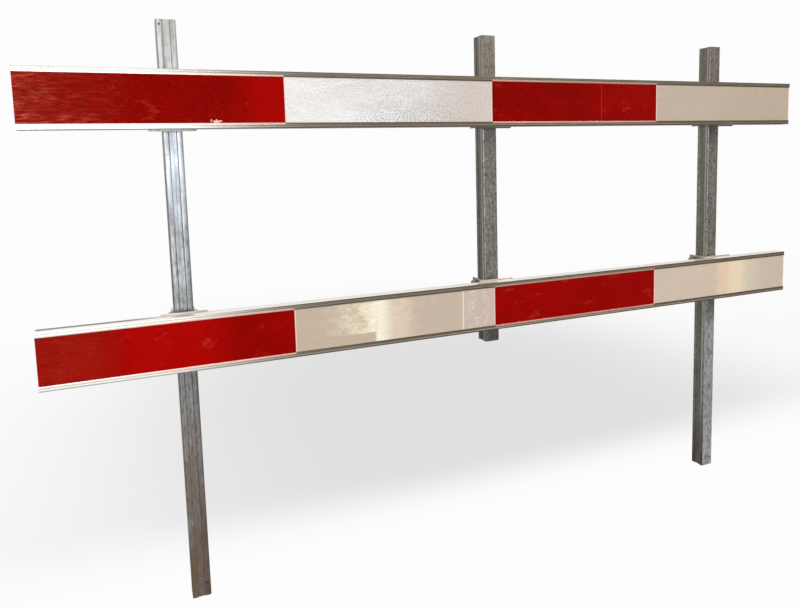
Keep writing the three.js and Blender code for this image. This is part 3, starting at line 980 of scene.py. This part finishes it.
def thread_rings(start, end, direction):
    """A turned thread from start to end along X, tapering off over its last turn."""
    rings = []
    count = int(abs(end - start) / THREAD_PITCH * THREAD_STEPS)
    for step in range(count + 1):
        along = start + direction * step * THREAD_PITCH / THREAD_STEPS
        left = (count - step) / THREAD_STEPS
        taper = min(1.0, left + 0.35)

        def radius(angle, along=along, taper=taper):
            turn = (along / THREAD_PITCH - angle / (2 * math.pi)) % 1.0
            depth = abs(2 * turn - 1)
            return (SHANK_RADIUS - THREAD_DEPTH * depth) * (0.82 + 0.18 * taper)

        rings.append(ring(along, radius))
    return rings


def centre_and_box(node):
    low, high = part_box(node)
    return (low + high) / 2, low, high


def make_clamp_bolt(row, side, end, material):
    """A flanged hexagon screw across the cheeks, plain near its head and threaded beyond."""
    node = f"{row}_{side}_clamp_bolt_{end}"
    centre, low, high = centre_and_box(node)
    seat = low.x + HEX_HEIGHT
    plain_end = seat + 0.42 * (high.x - seat)
    rings = list(reversed(hex_rings(seat, -1)))
    rings += [
        ring(seat, SHANK_RADIUS + 0.4 * MM), ring(seat + 0.4 * MM, SHANK_RADIUS),
        ring(plain_end, SHANK_RADIUS),
    ]
    rings += thread_rings(plain_end + 0.3 * MM, high.x, 1)
    placed = [[(x, centre.y + y, centre.z + z) for x, y, z in points] for points in rings]
    mesh = lofted_mesh(f"{node}_screw", placed)
    add_piece(f"{node}_screw", mesh, BODY_OF_ROW[row], material, "zinc_fastener", node, smooth=32)


def make_clamp_nut(row, side, end, material):
    """A flanged nut, open down its bore."""
    node = f"{row}_{side}_clamp_nut_{end}"
    centre, low, high = centre_and_box(node)
    rings = hex_rings(low.x, 1)
    rings += [
        ring(high.x, NUT_BORE + 0.5 * MM), ring(high.x - 0.5 * MM, NUT_BORE),
        ring(low.x + 0.5 * MM, NUT_BORE), ring(low.x, NUT_BORE + 0.5 * MM),
    ]
    placed = [[(x, centre.y + y, centre.z + z) for x, y, z in points] for points in rings]
    mesh = lofted_mesh(f"{node}_hexagon", placed, closed=True)
    add_piece(f"{node}_hexagon", mesh, BODY_OF_ROW[row], material, "zinc_fastener", node, smooth=32)


def make_board_bolt(row, side, hand, material):
    """The hammer head in the board's T-slot, its threaded shank, and the flanged nut on the bracket."""
    node = f"{row}_{side}_board_bolt_{hand}"
    centre, low, high = centre_and_box(node)
    head_back = low.y + HEAD_THICKNESS
    nut_seat = high.y - BOLT_TAIL - HEX_HEIGHT
    rings = [ring(head_back - 0.5 * MM, SHANK_RADIUS), ring(nut_seat, SHANK_RADIUS)]
    rings += hex_rings(nut_seat, 1)
    rings.append(ring(nut_seat + HEX_HEIGHT, SHANK_RADIUS))
    rings += thread_rings(nut_seat + HEX_HEIGHT + 0.1 * MM, high.y, 1)
    placed = [[(centre.x - y, x, centre.z + z) for x, y, z in points] for points in rings]
    mesh = lofted_mesh(f"{node}_set", placed)
    bm = bmesh.new()
    bm.from_mesh(mesh)
    head = bmesh.ops.create_cube(bm, size=1.0)["verts"]
    bmesh.ops.scale(bm, vec=(HEAD_WIDTH, HEAD_THICKNESS, high.z - low.z), verts=head)
    bmesh.ops.translate(bm, vec=(centre.x, low.y + HEAD_THICKNESS / 2, centre.z), verts=head)
    edges = list({edge for vert in head for edge in vert.link_edges})
    bmesh.ops.bevel(bm, geom=edges, offset=0.6 * MM, segments=2, profile=0.5, affect="EDGES")
    mesh = finished_mesh(f"{node}_set", bm)
    add_piece(f"{node}_set", mesh, BODY_OF_ROW[row], material, "zinc_fastener", node, smooth=32)


# ---------------------------------------------------------------- stage and light


def make_floor():
    """A floor that only tints the white surround: a wide soft painted grey shadow behind the barrier's feet.
    """
    s = Shader("floor")
    x, y = s.axis("X"), s.axis("Y")
    behind = s.math("MULTIPLY", s.ramp(y, 0.02, 0.42), s.ramp(y, 0.9, 4.0, 1.0, 0.0))
    sideways = s.ramp(s.math("ABSOLUTE", s.math("SUBTRACT", x, 0.35)), 0.25, 2.0, 1.0, 0.2)
    grey = s.ramp(s.math("MULTIPLY", behind, sideways), 0.0, 1.0, 1.0, 0.755)
    colour = s.node("ShaderNodeCombineColor", Red=grey, Green=grey, Blue=grey).outputs["Color"]
    clear = s.node("ShaderNodeBsdfTransparent", Color=colour)
    s.feed(s.tree.nodes["Material Output"].inputs["Surface"], clear.outputs["BSDF"])
    bm = bmesh.new()
    bmesh.ops.create_circle(bm, cap_ends=True, segments=96, radius=7.0)
    mesh = finished_mesh("floor", bm)
    mesh.materials.append(s.material)
    floor = bpy.data.objects.new("floor", mesh)
    floor.location.z = CAD_BOX[0].z - 0.5 * MM
    bpy.context.collection.objects.link(floor)


def area_light(name, place, aim, size, power, colour):
    data = bpy.data.lights.new(name, "AREA")
    data.shape = "RECTANGLE"
    data.size, data.size_y = size
    data.energy = power
    data.color = colour
    light = bpy.data.objects.new(name, data)
    light.location = place
    light.rotation_euler = (Vector(aim) - Vector(place)).to_track_quat("-Z", "Y").to_euler()
    light.visible_camera = False
    bpy.context.collection.objects.link(light)


def make_lights():
    area_light("window", (-1.3, -3.6, 0.85), (-0.8, 0, 0.8), (2.0, 1.3), 46, (0.90, 0.95, 1.0))
    area_light("lamp", (2.3, -2.3, 3.4), (0.3, 0, 0.7), (1.6, 1.2), 62, (1.0, 0.87, 0.73))


def make_world():
    """White behind the barrier. Lights and reflections see a bright ceiling and a dim, warm room."""
    world = bpy.data.worlds.new("studio")
    world.use_nodes = True
    tree = world.node_tree
    direction = tree.nodes.new("ShaderNodeTexCoord")
    split = tree.nodes.new("ShaderNodeSeparateXYZ")
    tree.links.new(direction.outputs["Generated"], split.inputs["Vector"])

    def blend(amount, first, second):
        mix = tree.nodes.new("ShaderNodeMix")
        mix.data_type = "RGBA"
        tree.links.new(amount, mix.inputs[0])
        for socket, colour in ((mix.inputs[6], first), (mix.inputs[7], second)):
            if isinstance(colour, tuple):
                socket.default_value = (*colour, 1)
            else:
                tree.links.new(colour, socket)
        return mix.outputs[2]

    raised = tree.nodes.new("ShaderNodeMath")
    raised.operation = "MULTIPLY_ADD"
    tree.links.new(split.outputs["Y"], raised.inputs[0])
    raised.inputs[1].default_value = 0.17
    tree.links.new(split.outputs["Z"], raised.inputs[2])

    def height_ramp(value, low, high):
        ramp = tree.nodes.new("ShaderNodeMapRange")
        ramp.interpolation_type = "SMOOTHSTEP"
        ramp.inputs["From Min"].default_value = low
        ramp.inputs["From Max"].default_value = high
        tree.links.new(value, ramp.inputs["Value"])
        return ramp.outputs["Result"]

    room = blend(height_ramp(split.outputs["Z"], -0.45, -0.05), (0.44, 0.41, 0.38), (0.33, 0.305, 0.275))
    room = blend(height_ramp(raised.outputs[0], 0.14, 0.50), room, (1.25, 1.23, 1.20))
    path = tree.nodes.new("ShaderNodeLightPath")
    seen = blend(path.outputs["Is Camera Ray"], room, (0.98, 0.98, 0.98))
    tree.links.new(seen, tree.nodes["Background"].inputs["Color"])
    bpy.context.scene.world = world


# ---------------------------------------------------------------- everything


def make_hardware():
    """The boards with their brackets and bolts, and the posts."""
    aluminium = aluminium_material()
    zinc = fastener_material()
    bracket_steel = bracket_material()
    post_steel = post_material()
    for row in ROWS:
        make_board(row, aluminium)
        for side in SIDES:
            make_bracket(row, side, bracket_steel)
            make_welds(row, side, bracket_steel)
            for end in ("top", "bottom"):
                make_clamp_bolt(row, side, end, zinc)
                make_clamp_nut(row, side, end, zinc)
            for hand in ("left", "right"):
                make_board_bolt(row, side, hand, zinc)
    for side in SIDES:
        make_post(side, post_steel)


def make_fields():
    """The eight fields of foil. The white ones are lit and worn differently, so each has its material."""
    first, second = field_ends("upper_white_foil_1"), field_ends("upper_white_foil_2")
    red = red_foil_material()
    # Painted highlight: a bright, cool copy of the white foil for the upper first field.
    sheen_white = white_foil_material(
        "white_foil_painted_sheen", first, (0.94, 0.975, 1.0), (0.67, 0.60, 0.55), (-0.25, -0.04), 0.44,
        sheen_and_wear, (0.55, 0.55, 0.58),
    )
    plain = white_foil_material(
        "white_foil", second, (0.56, 0.475, 0.395), (0.50, 0.425, 0.35), (0.55, 0.95), 0.06
    )
    glow = white_foil_material(
        "white_foil_glow", first, (0.57, 0.465, 0.365), (0.60, 0.50, 0.415), (-0.40, -0.12), 0.03,
        glow_and_seam,
    )
    far = white_foil_material(
        "white_foil_far", second, (0.67, 0.565, 0.48), (0.62, 0.53, 0.45), (0.80, 0.98), 0.05, far_glow
    )
    chip_place = (-0.640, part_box("upper_red_foil_1")[0].z + 3.2 * MM)
    make_foil("upper", "red", 1, red, 0.25, chip=chip_place, chip_material=adhesive_material())
    make_foil("upper", "white", 1, sheen_white, 0.4)
    make_foil("upper", "red", 2, red, 0.25, seam=RED_SEAM)
    make_foil("upper", "white", 2, plain, 0.2)
    make_foil("lower", "red", 1, red, 0.25)
    make_foil("lower", "white", 1, glow, 0.3, seam=WHITE_SEAM)
    make_foil("lower", "red", 2, red, 0.25)
    make_foil("lower", "white", 2, far, 0.2)


make_camera()
make_hardware()
make_fields()
make_floor()
make_lights()
make_world()
bpy.context.scene.view_settings.view_transform = "Standard"
